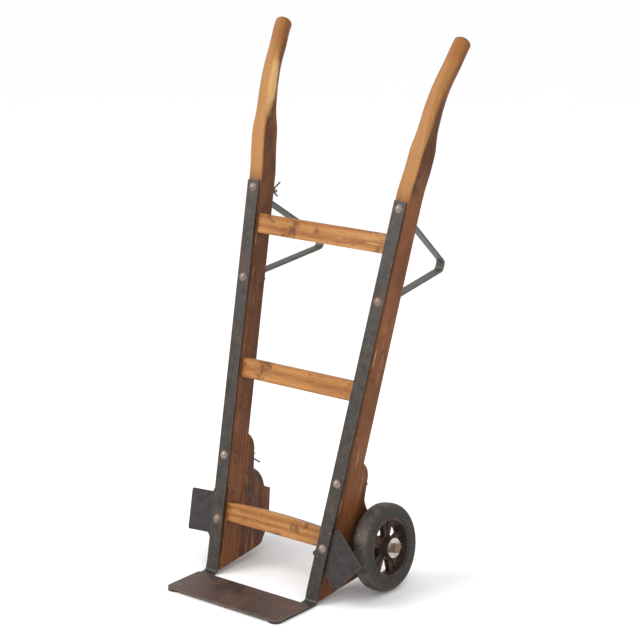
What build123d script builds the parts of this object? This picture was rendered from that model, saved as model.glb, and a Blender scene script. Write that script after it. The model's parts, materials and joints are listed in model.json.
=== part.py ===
"""Wooden warehouse hand truck: two splayed rails with bent handles, three cross bars, iron face
straps that turn forward into a toe plate, rear rest stays, and two canted rubber wheels.

Millimetres, +Z up. X runs across the truck, the toe plate points to -Y and the handles lean to +Y.
The origin is on the floor, under the middle of the truck's width and of its length.
"""

import os
from math import atan, cos, pi, radians, sin, tan

from build123d import *

os.makedirs("parts", exist_ok=True)

# ---------------------------------------------------------------- driving dimensions
heel_y = -159.4  # where the strap fronts meet the floor, measured from the origin
lean_angle = 15.3  # rails lean back from the vertical
splay = 0.07  # sideways travel of each rail per millimetre of height along the frame
foot_half_spacing = 147.8  # centre line of a strap at the floor, from the middle

rail_width = 38.0
rail_lengths = {"left": 1325.0, "right": 1313.0}  # floor line to handle tip; bent by hand, so unlike
handle_flares = {"left": 19.5, "right": 17.5}  # how far each tip stands outboard of its rail
handle_rakes = {"left": 42.0, "right": 43.0}  # how far each tip stands behind its rail's middle
rail_front = 6.0  # depth of the wood's front face, behind the strap's front face
rail_back_low = 63.0  # depth of the wood's rear face beside the axle block
rail_back_high = 59.0  # and where the straps end
rail_corner = 3.0
rail_taper_from = 340.0
shoulder = 940.0  # above it the rail turns into the handle
sole_height = 11.0  # height of the wood's toe along the rail, above the floor line
sole_slope = 0.385  # rise of the wood's lower end, per millimetre of depth
rail_stock_foot = -20.0  # the timber's length before its lower end is cut
rail_stock_depth = 100.0  # a cut this deep clears the timber

handle_diameter = 39.5
handle_cap = 12.0  # length of the rounded tip
handle_stations = 16
cap_slices = 5
round_margin = 0.2  # left of each side when a square's corners are rounded into a circle

strap_width = 32.0
strap_thickness = 6.0
strap_top = 930.0
strap_bend_radius = 8.0
strap_bend_end = 30.0  # up the frame, where the turned foot meets the splayed length
strap_bend_lap = 1.0  # the two overlap this much
strap_nose_round = 1.0  # flat left at the middle of the strap's rounded front end

toe_depth = 138.0  # from the strap fronts' floor line to the toe plate's front edge
toe_back_gap = 20.0  # the plate's rear edge stops this far in front of that line
toe_half_width = 166.0
toe_thickness = 3.0
toe_corner = 16.0
rivet_radius = 5.0
rivet_head_radius = 7.5  # countersunk into the plate
rivet_sunk = 0.1  # the heads lie this far below the plate's face
rivet_depths = (48.0, 112.0)  # in front of the strap fronts' floor line

bar_height = 46.0
bar_thickness = 25.0
bar_front = 12.0
bar_edge = 2.0
bar_bottoms = {"top": 806.5, "middle": 467.5, "bottom": 129.0}
bottom_bar_end_height = 42.0
bottom_bar_crown = 5.0
tenon_length = 24.0
tenon_shoulder = 7.0
tenon_thickness = 12.0
mortise_spare = 1.0

bolt_heights = {"stay_upper": 913.0, "stay_lower": 700.5, "block": 280.5, "guard": 129.6}
bolt_radius = 4.0
bolt_head_radius = 10.5
bolt_head_height = 5.0
# thread showing past each nut, and past the two that were left long
bolt_spares = {"stay_upper": 3.0, "stay_lower": 3.0, "block": 5.0, "guard": 3.0}
long_spares = {"left": {"stay_upper": 17.0}, "right": {"block": 20.0}}
washer_radius = 10.0
washer_thickness = 2.0
nut_size = 14.0
nut_thickness = 7.0
nut_turn = 20.0  # degrees from square with the rail
bolt_clearance = 0.2
nut_clearance = 0.1

# axle block outline, as (depth, length) from its top round its rear to its toe
block_top = 333.0
block_brow = (79.0, 321.0)
block_nose = (89.0, 300.0)
block_waist = (95.0, 250.0)
block_hollow = (122.0, 220.0)
block_shelf = (165.0, 206.0)
block_rear = (171.0, 150.0)
block_belly = (168.5, 112.0)
block_heel = (158.0, 84.0)
block_ankle = (153.0, 72.0)
block_toe = (143.0, 65.5)
block_seat = 88.0  # depth of the spot face under the block bolt's washer
spot_face_radius = 11.5
pocket_radius = 13.0  # for the guard bolt's nut, in the block's front face
pocket_spare = 2.0  # air behind that bolt's end

guard_sizes = {"left": (101.0, 98.0), "right": (107.0, 91.0)}
guard_thickness = 2.4
guard_inboard = 12.0  # from the pivot bolt to the plate's inner edge
guard_belows = {"left": 36.0, "right": 31.0}  # from the pivot bolt to the plate's lower edge
guard_corner = 5.0
guard_gap = 0.3
guard_relief = 80.0  # half length of the hollow in the rail's front that the plate turns in
guard_angles = {"left": 0.0, "right": 37.0}  # turned down from square
guard_screw_hole = (68.0, -12.0)  # in the right plate only
guard_screw_radius = 2.5

stay_width = 21.0
stay_thickness = 5.5
stay_reach = 250.0  # depth of the stay's outer end
stay_inset = 25.0  # how far that end stands inboard
stay_end_heights = {"left": 807.5, "right": 800.5}
stay_end_length = 22.0
stay_foot = 18.0  # from a stay bolt to the outer end of the foot it clamps
stay_upper_run = 27.0  # from the upper bolt down to the bend
stay_lower_run = 18.0  # from the lower bolt up to the bend
stay_bend_radius = 11.0
stay_seat_cut = 0.4  # how deep the flat seat under each foot is cut
stay_seat_spare = 2.0  # the seat runs this far past the foot
seat_chip = 10.0  # a flat seat is cut this deep, to clear the wood behind it

wheel_radius = 101.6
tyre_width = 42.0
tyre_shoulder = 9.0
tyre_inner_radius = 70.0
wheel_spacings = {"right": 225.5, "left": 219.0}  # middle of each wheel, from the truck's middle
toe_out = {"right": 0.0, "left": 6.0}  # the left end of the old axle is bent forward too
camber = 7.0
axle_back = 178.5  # the axle's straight middle, behind the heel
hub_radius = 23.0
hub_outer = 25.5
hub_inner = 24.0
hub_draft = 1.0
web_inner = 7.0  # half thickness of the spoked web beside the hub
web_edge = 5.0  # and beside the rim
rim_half_width = 19.0
rim_root_inner = 62.0
rim_root_outer = 60.5
rim_draft = 3.0
spoke_count = 5
spoke_phase = 40.0
hole_half_angle = 17.0
hole_radii = (29.0, 60.0)
hole_crown = 2.0

axle_radius = 11.0
axle_end = 38.0  # past the wheel's middle
axle_bend = 43.0  # the bend is this far inside the wheel's middle
axle_bend_radius = 40.0
collar_radius = 17.0
collar_thickness = 8.0
hub_clearance = 0.08
side_clearance = 0.3
hub_washer_radius = 23.0
hub_washer_thickness = 2.5
cotter_radius = 2.0
cotter_leg = 13.0
cotter_leg_radius = 1.3
cotter_spread = 20.0
cotter_tail = 3.0  # how far the pin passes through the axle before its legs part
cotter_head_gap = 3.0
cotter_eye = 6.0
cotter_eye_hole = 3.0

wire_radius = 1.9
wire_root_angle = pi / 4  # where the wire's ends leave its turn round the bolt
# each end's tip: further back than the turn, above or below the bolt, inboard of it
wire_tips = {
    "upper": ((10.5, 22.0, 13.0), (6.0, -13.0, 13.0)),
    "lower": ((19.0, -14.5, 17.0), (3.0, 6.0, 12.0)),
}

# ---------------------------------------------------------------- frame of reference
lean = radians(lean_angle)
splay_angle = atan(splay)
heel = Vector(0, heel_y, 0)
across = Vector(1, 0, 0)
back = Vector(0, cos(lean), -sin(lean))
upward = Vector(0, sin(lean), cos(lean))
along = (across * splay + upward).normalized()
outboard = back.cross(along)
rail_foot = heel + across * foot_half_spacing

# the strap fronts' plane: x across the truck, y up the frame, z out of its front
face_plane = Plane(origin=heel, x_dir=across, z_dir=-back)
# the right rail's own planes: side view (depth, length) and front view (outboard, length)
side_plane = Plane(origin=rail_foot, x_dir=back, z_dir=outboard)
front_plane = Plane(origin=rail_foot, x_dir=outboard, z_dir=-back)


def at_depth(depth):
    """The plane parallel to the strap fronts, this far behind them."""
    return face_plane.offset(-depth)


def rail_point(depth, length, aside=0.0):
    """A point of the right rail, from its depth, its length and its distance outboard."""
    return rail_foot + back * depth + along * length + outboard * aside


def inner_face_x(height):
    """Where the right rail's inner face stands at a height up the frame."""
    return foot_half_spacing + splay * height - rail_width / 2 / cos(splay_angle)


def rail_back(length):
    """Depth of the rail's rear face."""
    climb = max(0.0, (length - rail_taper_from) / (shoulder - rail_taper_from))
    return rail_back_low + (rail_back_high - rail_back_low) * climb


def sole_at(depth):
    """Length at which the wood's sloping lower end stands, at a depth."""
    return sole_height + sole_slope * (depth - rail_front)


def finish(piece, name):
    """Label a piece and write it."""
    piece.label = name
    export_step(piece, f"parts/{name}.step")


def finish_pair(piece, name):
    """Write a right-hand piece and its left-hand mirror image."""
    finish(piece, f"{name}_right")
    finish(mirror(piece, about=Plane.YZ), f"{name}_left")


def stay_seat(key):
    """Depth of the flat seat cut for a stay's foot."""
    return rail_back(bolt_heights[key]) - stay_seat_cut


# ---------------------------------------------------------------- wheels' place
cant = radians(camber)
wheel_height = (
    (wheel_radius - tyre_shoulder) * cos(cant)
    + tyre_shoulder
    + (tyre_width / 2 - tyre_shoulder) * sin(cant)
)


def wheel_plane(side):
    """One wheel's middle, drawn on the right: x level to the rear, z out along its axle end."""
    toe = radians(toe_out[side])
    outward = Vector(cos(cant) * cos(toe), -cos(cant) * sin(toe), sin(cant))
    middle = heel + Vector(wheel_spacings[side], axle_back + outward.Y * axle_bend, wheel_height)
    return Plane(origin=middle, x_dir=Vector(0, 0, 1).cross(outward).normalized(), z_dir=outward)


def axle_points(side):
    """The bend and the tip of one end of the axle, drawn on the right."""
    place = wheel_plane(side)
    return place.origin - place.z_dir * axle_bend, place.origin + place.z_dir * axle_end


def on_side(piece, side):
    """A piece drawn on the right, put on its own side."""
    return piece if side == "right" else mirror(piece, about=Plane.YZ)


def mirrored(point):
    """The same point on the truck's left side."""
    return Vector(-point.X, point.Y, point.Z)


# ---------------------------------------------------------------- cross bars
def bar_height_of(name):
    return bottom_bar_end_height if name == "bottom" else bar_height


def tenon_box(name):
    """Centre height, height and outer end of a bar's tenons."""
    height = bar_height_of(name)
    middle = bar_bottoms[name] + height / 2
    return middle, height - 2 * tenon_shoulder, inner_face_x(middle) + tenon_length


for bar_name, low in bar_bottoms.items():
    high = low + bar_height_of(bar_name)
    crown = bottom_bar_crown if bar_name == "bottom" else 0.0
    tenon_middle, tenon_height, tenon_end = tenon_box(bar_name)
    with BuildPart() as crossbar:
        with BuildSketch(at_depth(bar_front)):
            with BuildLine():
                Line((-inner_face_x(low), low), (inner_face_x(low), low))
                Line((inner_face_x(low), low), (inner_face_x(high), high))
                if crown:
                    ThreePointArc((inner_face_x(high), high), (0, high + crown), (-inner_face_x(high), high))
                else:
                    Line((inner_face_x(high), high), (-inner_face_x(high), high))
                Line((-inner_face_x(high), high), (-inner_face_x(low), low))
            make_face()
        extrude(amount=-bar_thickness)
        long_edges = crossbar.edges().filter_by(lambda edge: edge.length > 2 * tenon_end - 4 * rail_width)
        fillet(long_edges, radius=bar_edge)
        with BuildSketch(at_depth(bar_front + (bar_thickness - tenon_thickness) / 2)):
            with Locations((0, tenon_middle)):
                Rectangle(2 * tenon_end, tenon_height)
        extrude(amount=-tenon_thickness)
    finish(crossbar.part, f"crossbar_{bar_name}")

# ---------------------------------------------------------------- rails
# the handle's course above the shoulder: share of its length, of its flare and of its rake
handle_course = [
    (0.0, 0.0, 0.0),
    (0.16, 0.25, 0.01),
    (0.32, 0.42, 0.01),
    (0.48, 0.52, 0.01),
    (0.63, 0.62, 0.11),
    (0.75, 0.74, 0.33),
    (0.86, 0.86, 0.64),
    (1.0, 1.0, 1.0),
]
tip_slope = 0.45  # depth gained per millimetre of length at the tips
# the handle's section, from square wood to a round grip: share of its length, width, depth, corner radius
handle_sections = [
    (0.0, rail_width, rail_back_high - rail_front, rail_corner),
    (0.30, rail_width, 51.0, 3.5),
    (0.38, rail_width, 43.0, 8.0),
    (0.44, 38.0, 41.5, 12.0),
    (0.57, 39.0, 40.5, 16.0),
    (0.72, handle_diameter, handle_diameter, handle_diameter / 2 - round_margin),
    (1.0, handle_diameter, handle_diameter, handle_diameter / 2 - round_margin),
]


def handle_section(share):
    """Width, depth and corner radius of the handle at a share of its length."""
    for (low, *start), (high, *end) in zip(handle_sections, handle_sections[1:]):
        if share <= high:
            climb = (share - low) / (high - low)
            return [first + (last - first) * climb for first, last in zip(start, end)]


def handle_line(side):
    """The middle line of one side's handle, drawn on the right rail."""
    rise = rail_lengths[side] - handle_cap - shoulder
    middle = (rail_front + rail_back_high) / 2
    far_back, far_out = handle_rakes[side], handle_flares[side]
    course = [
        rail_point(middle + far_back * rake, shoulder + rise * share, far_out * flare)
        for share, flare, rake in handle_course
    ]
    with BuildLine() as line:
        Spline(*course, tangents=(along, (along + back * tip_slope).normalized()))
    return line.wire()


for side in ("right", "left"):
    grip_line = handle_line(side)
    with BuildPart() as rail:
        # straight wood, then wood that thins towards the shoulder
        for low, high in ((rail_stock_foot, rail_taper_from), (rail_taper_from, shoulder)):
            for length in (low, high):
                wood_depth = rail_back(length) - rail_front
                middle = rail_point(rail_front + wood_depth / 2, length)
                with BuildSketch(Plane(origin=middle, x_dir=outboard, z_dir=along)):
                    RectangleRounded(rail_width, wood_depth, rail_corner)
            loft(ruled=True)
        for step in range(handle_stations + 1):
            share = step / handle_stations
            width, depth, corner = handle_section(share)
            with BuildSketch(Plane(origin=grip_line @ share, x_dir=outboard, z_dir=grip_line % share)):
                RectangleRounded(width, depth, corner)
        loft()
        # the rounded tip: slices of a flattened ball
        tip = Plane(origin=grip_line @ 1, x_dir=outboard, z_dir=grip_line % 1)
        for step in range(cap_slices):
            slice_angle = step / cap_slices * pi / 2
            spread = handle_diameter * cos(slice_angle)
            with BuildSketch(tip.offset(handle_cap * sin(slice_angle))):
                RectangleRounded(spread, spread, spread / 2 - round_margin)
        loft()
        # the lower end is cut close to the floor, rising to the rear
        with BuildSketch(side_plane):
            with BuildLine():
                Polyline(
                    (0, sole_at(0)),
                    (rail_stock_depth, sole_at(rail_stock_depth)),
                    (rail_stock_depth, 2 * rail_stock_foot),
                    (0, 2 * rail_stock_foot),
                    close=True,
                )
            make_face()
        extrude(amount=rail_width, both=True, mode=Mode.SUBTRACT)
        # the hollow that the guard plate turns in
        with BuildSketch(front_plane.offset(-rail_front)):
            with Locations((0, bolt_heights["guard"])):
                Rectangle(2 * rail_width, 2 * guard_relief)
        extrude(amount=-(guard_thickness + 2 * guard_gap), mode=Mode.SUBTRACT)
        # flat seats for the stay's feet
        for key, below, above in (
            ("stay_upper", stay_upper_run, stay_foot),
            ("stay_lower", stay_foot, stay_lower_run),
        ):
            with BuildSketch(front_plane.offset(-stay_seat(key))):
                with Locations((0, bolt_heights[key] - below - stay_seat_spare)):
                    Rectangle(
                        2 * rail_width, below + above + 2 * stay_seat_spare, align=(Align.CENTER, Align.MIN)
                    )
            extrude(amount=-seat_chip, mode=Mode.SUBTRACT)
        # mortises
        for bar_name in bar_bottoms:
            tenon_middle, tenon_height, tenon_end = tenon_box(bar_name)
            with BuildSketch(at_depth(bar_front + (bar_thickness - tenon_thickness) / 2)):
                with Locations((tenon_end + mortise_spare, tenon_middle)):
                    Rectangle(2 * tenon_length, tenon_height, align=(Align.MAX, Align.CENTER))
            extrude(amount=-tenon_thickness, mode=Mode.SUBTRACT)
        # bolt holes
        with BuildSketch(front_plane):
            with Locations(*[(0, height) for height in bolt_heights.values()]):
                Circle(bolt_radius + bolt_clearance)
        extrude(amount=-2 * rail_back_low, mode=Mode.SUBTRACT)
    finish(on_side(rail.part, side), f"rail_{side}")

# ---------------------------------------------------------------- axle blocks
with BuildPart() as block:
    with BuildSketch(side_plane.offset(-rail_width / 2)):
        with BuildLine():
            front_low = (rail_back_low, sole_at(rail_back_low))
            front_top = (rail_back_low, block_top)
            Line(front_low, front_top)
            ThreePointArc(front_top, block_brow, block_nose)
            Line(block_nose, block_waist)
            ThreePointArc(block_waist, block_hollow, block_shelf)
            Line(block_shelf, block_rear)
            ThreePointArc(block_rear, block_belly, block_heel)
            ThreePointArc(block_heel, block_ankle, block_toe)
            Line(block_toe, front_low)
        make_face()
    extrude(amount=rail_width)
    # bore for the axle, straight across the truck
    with BuildSketch(Plane(origin=axle_points("right")[0], x_dir=(0, 1, 0), z_dir=across)):
        Circle(axle_radius)
    extrude(amount=rail_width * 3, both=True, mode=Mode.SUBTRACT)
    # block bolt, with a spot face for its washer
    with BuildSketch(front_plane):
        with Locations((0, bolt_heights["block"])):
            Circle(bolt_radius + bolt_clearance)
    extrude(amount=-2 * rail_back_low, mode=Mode.SUBTRACT)
    with BuildSketch(front_plane.offset(-block_seat)):
        with Locations((0, bolt_heights["block"])):
            Circle(spot_face_radius)
    extrude(amount=-seat_chip, mode=Mode.SUBTRACT)
    # pocket in the front face for the guard bolt's nut
    pocket_depth = washer_thickness + nut_thickness + bolt_spares["guard"] + pocket_spare
    with BuildSketch(front_plane.offset(-rail_back_low)):
        with Locations((0, bolt_heights["guard"])):
            Circle(pocket_radius)
    extrude(amount=-pocket_depth, mode=Mode.SUBTRACT)
finish_pair(block.part, "axle_block")

# ---------------------------------------------------------------- straps and toe plate
strap_foot_x = foot_half_spacing + splay * strap_bend_end
strap_inner_edge = heel + across * (strap_foot_x - strap_width / 2)
with BuildPart() as strap:
    with BuildSketch(Plane(origin=strap_inner_edge, x_dir=(0, 1, 0), z_dir=across)):
        with BuildLine():
            inner_corner = (strap_thickness * tan(lean), strap_thickness)
            outer_corner = (strap_thickness * (1 / cos(lean)), 0)
            reach = strap_bend_end + strap_bend_lap
            top_front = (reach * sin(lean), reach * cos(lean))
            top_back = (
                top_front[0] + strap_thickness * cos(lean),
                top_front[1] - strap_thickness * sin(lean),
            )
            FilletPolyline(
                (-toe_depth, strap_thickness), inner_corner, top_front, radius=strap_bend_radius
            )
            Line(top_front, top_back)
            FilletPolyline(
                top_back, outer_corner, (-toe_depth, 0), radius=strap_bend_radius + strap_thickness
            )
            Line((-toe_depth, 0), (-toe_depth, strap_thickness))
        make_face()
    extrude(amount=strap_width)
    nose = strap.edges().filter_by(Axis.Z).group_by(Axis.Y)[0]
    fillet(nose, radius=strap_width / 2 - strap_nose_round)
    with BuildSketch(front_plane):
        with Locations((0, strap_bend_end)):
            Rectangle(strap_width, strap_top - strap_bend_end, align=(Align.CENTER, Align.MIN))
    extrude(amount=-strap_thickness)
    with BuildSketch(front_plane):
        with Locations(*[(0, height) for height in bolt_heights.values()]):
            Circle(bolt_radius + bolt_clearance)
    extrude(amount=-strap_thickness, mode=Mode.SUBTRACT)
    rivet_spots = [(side * strap_foot_x, heel_y - depth) for side in (-1, 1) for depth in rivet_depths]
    with BuildSketch(Plane.XY):
        with Locations(*rivet_spots):
            Circle(rivet_radius)
    extrude(amount=strap_thickness, mode=Mode.SUBTRACT)
finish_pair(strap.part, "strap")

seated = (Align.CENTER, Align.CENTER, Align.MIN)
with BuildPart() as toe_plate:
    with BuildSketch(Plane.XY.offset(strap_thickness)):
        with BuildLine():
            Polyline(
                (-toe_half_width, heel_y - toe_back_gap),
                (toe_half_width, heel_y - toe_back_gap),
                (toe_half_width, heel_y - toe_depth),
                (-toe_half_width, heel_y - toe_depth),
                close=True,
            )
        make_face()
    extrude(amount=toe_thickness)
    front_corners = toe_plate.edges().filter_by(Axis.Z).group_by(Axis.Y)[0]
    rear_corners = toe_plate.edges().filter_by(Axis.Z).group_by(Axis.Y)[-1]
    fillet(front_corners, radius=toe_corner)
    fillet(rear_corners, radius=toe_corner / 2)
    with Locations(*[(x, y, strap_thickness) for x, y in rivet_spots]):
        Cone(rivet_radius, rivet_head_radius, toe_thickness, align=seated, mode=Mode.SUBTRACT)
finish(toe_plate.part, "toe_plate")

with BuildPart() as toe_rivets:
    with BuildSketch(Plane.XY):
        with Locations(*rivet_spots):
            Circle(rivet_radius)
    extrude(amount=strap_thickness)
    head_height = toe_thickness - rivet_sunk
    head_top_radius = rivet_radius + (rivet_head_radius - rivet_radius) * head_height / toe_thickness
    with Locations(*[(x, y, strap_thickness) for x, y in rivet_spots]):
        Cone(rivet_radius, head_top_radius, head_height, align=seated)
finish(toe_rivets.part, "toe_rivets")

# ---------------------------------------------------------------- guard plates
for side, turned in guard_angles.items():
    guard_width, guard_height = guard_sizes[side]
    # x outboard and y up the rail, turned down about the pivot bolt
    turn = radians(turned)
    plate_x = outboard * cos(turn) - along * sin(turn)
    plate_plane = Plane(
        origin=rail_point(rail_front + guard_gap, bolt_heights["guard"]), x_dir=plate_x, z_dir=-back
    )
    with BuildPart() as guard:
        with BuildSketch(plate_plane):
            with Locations((guard_width / 2 - guard_inboard, guard_height / 2 - guard_belows[side])):
                RectangleRounded(guard_width, guard_height, guard_corner)
            Circle(bolt_radius + side_clearance, mode=Mode.SUBTRACT)
            if side == "right":
                with Locations(guard_screw_hole):
                    Circle(guard_screw_radius, mode=Mode.SUBTRACT)
        extrude(amount=-guard_thickness)
    finish(on_side(guard.part, side), f"guard_plate_{side}")

# ---------------------------------------------------------------- rear stays
for side in stay_end_heights:
    with BuildPart() as stay:
        upper_seat = stay_seat("stay_upper") + stay_thickness / 2
        lower_seat = stay_seat("stay_lower") + stay_thickness / 2
        end_top = stay_end_heights[side] + stay_end_length / 2
        end_low = stay_end_heights[side] - stay_end_length / 2
        with BuildLine() as stay_path:
            FilletPolyline(
                rail_point(upper_seat, bolt_heights["stay_upper"] + stay_foot),
                rail_point(upper_seat, bolt_heights["stay_upper"] - stay_upper_run),
                rail_point(stay_reach, end_top, -stay_inset),
                rail_point(stay_reach, end_low, -stay_inset),
                rail_point(lower_seat, bolt_heights["stay_lower"] + stay_lower_run),
                rail_point(lower_seat, bolt_heights["stay_lower"] - stay_foot),
                radius=stay_bend_radius,
            )
        with BuildSketch(Plane(origin=stay_path.wire() @ 0, x_dir=outboard, z_dir=stay_path.wire() % 0)):
            Rectangle(stay_width, stay_thickness)
        sweep(path=stay_path.wire())
        with BuildSketch(front_plane):
            with Locations((0, bolt_heights["stay_upper"]), (0, bolt_heights["stay_lower"])):
                Circle(bolt_radius + bolt_clearance)
        extrude(amount=-2 * upper_seat, mode=Mode.SUBTRACT)
    finish(on_side(stay.part, side), f"stay_{side}")

# ---------------------------------------------------------------- bolts, washers and nuts
bolt_seats = {
    "stay_upper": stay_seat("stay_upper") + stay_thickness,
    "stay_lower": stay_seat("stay_lower") + stay_thickness,
    "block": block_seat,
    "guard": rail_back_low,
}
# radius of the ball that the domed head is a slice of
dome_radius = (bolt_head_radius**2 + bolt_head_height**2) / (2 * bolt_head_height)


def bolt_group(keys):
    """The carriage bolts for these places on both sides: domed head, plain shank."""
    solids = []
    for side, spares in long_spares.items():
        with BuildPart() as bolts:
            for key in keys:
                foot = rail_point(0, bolt_heights[key])
                past_seat = washer_thickness + nut_thickness + spares.get(key, bolt_spares[key])
                with BuildSketch(Plane(origin=foot, x_dir=outboard, z_dir=-back)):
                    Circle(bolt_radius)
                extrude(amount=-bolt_seats[key] - past_seat)
                # half of the head's outline, turned about the bolt's axis
                with BuildSketch(Plane(origin=foot, x_dir=outboard, z_dir=outboard.cross(-back))):
                    with BuildLine():
                        Line((0, 0), (bolt_head_radius, 0))
                        RadiusArc((bolt_head_radius, 0), (0, bolt_head_height), -dome_radius)
                        Line((0, bolt_head_height), (0, 0))
                    make_face()
                revolve(axis=Axis(foot, -back))
        solids += on_side(bolts.part, side).solids()
    return Compound(children=solids)


def both_sides(piece):
    """A right-hand group of solids together with its mirror image."""
    return Compound(children=[*piece.solids(), *mirror(piece, about=Plane.YZ).solids()])


finish(bolt_group(["stay_upper", "stay_lower"]), "stay_bolts")
finish(bolt_group(["block"]), "block_bolts")
finish(bolt_group(["guard"]), "guard_bolts")

with BuildPart() as washers:
    for key, seat in bolt_seats.items():
        with BuildSketch(front_plane.offset(-seat)):
            with Locations((0, bolt_heights[key])):
                Circle(washer_radius)
                Circle(bolt_radius + bolt_clearance, mode=Mode.SUBTRACT)
        extrude(amount=-washer_thickness)
finish(both_sides(washers.part), "bolt_washers")

with BuildPart() as nuts:
    for key, seat in bolt_seats.items():
        with BuildSketch(front_plane.offset(-seat - washer_thickness)):
            with Locations((0, bolt_heights[key])):
                Rectangle(nut_size, nut_size, rotation=nut_turn)
                Circle(bolt_radius + nut_clearance, mode=Mode.SUBTRACT)
        extrude(amount=-nut_thickness)
finish(both_sides(nuts.part), "square_nuts")

# ---------------------------------------------------------------- tie wires
# wound round a bolt's end behind the left rail, with their ends left standing out
for wire_name, key in (("upper", "stay_upper"), ("lower", "block")):
    turn_depth = bolt_seats[key] + washer_thickness + nut_thickness + wire_radius + nut_clearance
    turn_radius = bolt_radius + wire_radius + nut_clearance
    bolt_axis = Axis(rail_point(0, bolt_heights[key]), back)
    turn_middle = rail_point(turn_depth, bolt_heights[key])
    with BuildPart() as wire:
        with BuildSketch(Plane(origin=turn_middle, x_dir=outboard, z_dir=along)):
            with Locations((-turn_radius, 0)):
                Circle(wire_radius)
        revolve(axis=bolt_axis)
        for tip_depth, tip_rise, tip_inboard in wire_tips[wire_name]:
            up_or_down = 1 if tip_rise > 0 else -1
            root = rail_point(
                turn_depth,
                bolt_heights[key] + up_or_down * turn_radius * sin(wire_root_angle),
                -turn_radius * cos(wire_root_angle),
            )
            tip_point = rail_point(turn_depth + tip_depth, bolt_heights[key] + tip_rise, -tip_inboard)
            with BuildSketch(Plane(origin=root, z_dir=tip_point - root)):
                Circle(wire_radius)
            extrude(amount=(tip_point - root).length)
    finish(mirror(wire.part, about=Plane.YZ), f"wire_tie_{wire_name}")

# ---------------------------------------------------------------- axle
washer_inner = hub_inner + side_clearance + hub_washer_thickness
pin_place = hub_outer + side_clearance + hub_washer_thickness + cotter_radius
with BuildPart() as axle:
    right_bend, right_tip = axle_points("right")
    left_bend, left_tip = (mirrored(point) for point in axle_points("left"))
    with BuildLine() as axle_path:
        FilletPolyline(left_tip, left_bend, right_bend, right_tip, radius=axle_bend_radius)
    with BuildSketch(Plane(origin=left_tip, z_dir=left_bend - left_tip)):
        Circle(axle_radius)
    sweep(path=axle_path.wire())
    for side in wheel_spacings:
        place = wheel_plane(side)
        centre = place.origin if side == "right" else mirrored(place.origin)
        outward = place.z_dir if side == "right" else mirrored(place.z_dir)
        with BuildSketch(Plane(origin=centre - outward * washer_inner, z_dir=-outward)):
            Circle(collar_radius)
        extrude(amount=collar_thickness)
        # hole for the cotter pin
        rearward = Vector(0, 0, 1).cross(outward)
        with BuildSketch(Plane(origin=centre + outward * pin_place, x_dir=outward, z_dir=rearward)):
            Circle(cotter_radius)
        extrude(amount=2 * axle_radius, both=True, mode=Mode.SUBTRACT)
finish(axle.part, "axle")

# ---------------------------------------------------------------- wheels
bore = axle_radius + hub_clearance
hub_washer_solids = []
cotter_solids = []
for side in wheel_spacings:
    place = wheel_plane(side)
    # a half plane through the wheel's axis: x outward from the axis, y along it
    section = Plane(origin=place.origin, x_dir=place.x_dir, z_dir=-place.y_dir)
    turn_axis = Axis(place.origin, place.z_dir)
    with BuildPart() as tyre:
        with BuildSketch(section):
            with Locations(((tyre_inner_radius + wheel_radius) / 2, 0)):
                Rectangle(wheel_radius - tyre_inner_radius, tyre_width)
        revolve(axis=turn_axis)
        tread_edges = tyre.edges().sort_by(lambda edge: edge.length)[-2:]
        fillet(tread_edges, radius=tyre_shoulder)
    finish(on_side(tyre.part, side), f"tyre_{side}")

    with BuildPart() as casting:
        with BuildSketch(section):
            with BuildLine():
                Polyline(
                    (bore, -hub_inner),
                    (hub_radius, -hub_inner),
                    (hub_radius + hub_draft, -web_inner),
                    (rim_root_inner, -web_edge),
                    (rim_root_inner + rim_draft, -rim_half_width),
                    (tyre_inner_radius, -rim_half_width),
                    (tyre_inner_radius, rim_half_width),
                    (rim_root_outer + rim_draft, rim_half_width),
                    (rim_root_outer, web_edge),
                    (hub_radius + hub_draft, web_inner),
                    (hub_radius - hub_draft, hub_outer),
                    (bore, hub_outer),
                    close=True,
                )
            make_face()
        revolve(axis=turn_axis)
        with BuildSketch(place.offset(-tyre_width / 2)):
            inner_radius, outer_radius = hole_radii
            half = radians(hole_half_angle)
            for number in range(spoke_count):
                middle_angle = radians(spoke_phase + number * 360 / spoke_count)
                corners = [
                    (radius * cos(middle_angle + lead), radius * sin(middle_angle + lead))
                    for radius, lead in (
                        (inner_radius, -half),
                        (outer_radius, -half),
                        (outer_radius + hole_crown, 0),
                        (outer_radius, half),
                        (inner_radius, half),
                    )
                ]
                Polygon(*corners, align=None)
        extrude(amount=tyre_width, mode=Mode.SUBTRACT)
    finish(on_side(casting.part, side), f"wheel_centre_{side}")

    with BuildPart() as hub_washers:
        for face_place in (hub_outer + side_clearance, -washer_inner):
            with BuildSketch(place.offset(face_place)):
                Circle(hub_washer_radius)
                Circle(bore, mode=Mode.SUBTRACT)
            extrude(amount=hub_washer_thickness)
    hub_washer_solids += on_side(hub_washers.part, side).solids()

    with BuildPart() as cotter:
        pin_middle = place.origin + place.z_dir * pin_place
        fore = place.x_dir
        head = pin_middle - fore * (axle_radius + cotter_head_gap)
        with BuildSketch(Plane(origin=head, x_dir=place.z_dir, z_dir=fore)):
            Circle(cotter_radius)
        extrude(amount=2 * axle_radius + cotter_head_gap + cotter_tail)
        tail = pin_middle + fore * (axle_radius + cotter_tail - cotter_leg_radius)
        for lean_out in (-cotter_spread, cotter_spread):
            leg = fore * cos(radians(lean_out)) + place.y_dir * sin(radians(lean_out))
            with BuildSketch(Plane(origin=tail, x_dir=place.z_dir, z_dir=leg)):
                Circle(cotter_leg_radius)
            extrude(amount=cotter_leg)
        eye = Plane(origin=head - fore * cotter_eye_hole, x_dir=fore, z_dir=place.z_dir)
        with BuildSketch(eye):
            Circle(cotter_eye)
            Circle(cotter_eye_hole, mode=Mode.SUBTRACT)
        extrude(amount=cotter_leg_radius, both=True)
    cotter_solids += on_side(cotter.part, side).solids()

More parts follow.
